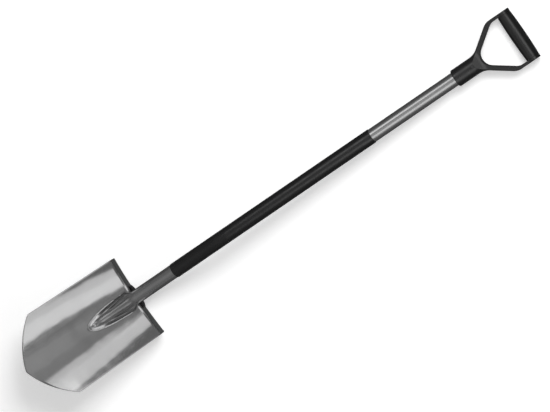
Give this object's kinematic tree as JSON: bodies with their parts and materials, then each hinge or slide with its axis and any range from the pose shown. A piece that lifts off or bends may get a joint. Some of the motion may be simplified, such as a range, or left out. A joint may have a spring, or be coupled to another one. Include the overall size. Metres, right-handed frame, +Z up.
{
  "type": "spade",
  "caption": "Pointed digging spade: dished steel blade with rolled foot treads, welded cranked steel tube shaft with a plastic sleeve, and a moulded D-handle.",
  "frame": {"origin": "on the floor, under the middle of the spade's bounding box, the spade lying on its treads and its grip with the front of the blade up", "axes": "+Y from the blade's tip towards the D-handle, +Z up, +X across the blade; the spade is the same on both sides of X = 0"},
  "size_m": [0.192, 1.254, 0.1174],
  "materials": {
    "blade_steel": "satin silver lacquer over lengthwise brushed steel",
    "shaft_steel": "grey metallic coat, satin",
    "weld_steel": "weld bead under the same grey coat",
    "sleeve_plastic": "smooth black, low gloss",
    "handle_plastic": "black, fine moulded grain",
    "grip_plastic": "black, soft and matt",
    "rivet_steel": "black coat"
  },
  "bodies": {
    "root": {"blade": "blade_steel", "shaft_tube": "shaft_steel", "tongue_weld": "weld_steel", "plug_weld": "weld_steel", "heel_weld": "weld_steel", "shaft_sleeve": "sleeve_plastic", "d_handle": "handle_plastic", "grip_cover": "grip_plastic", "handle_rivet": "rivet_steel"}
  },
  "joints": []
}
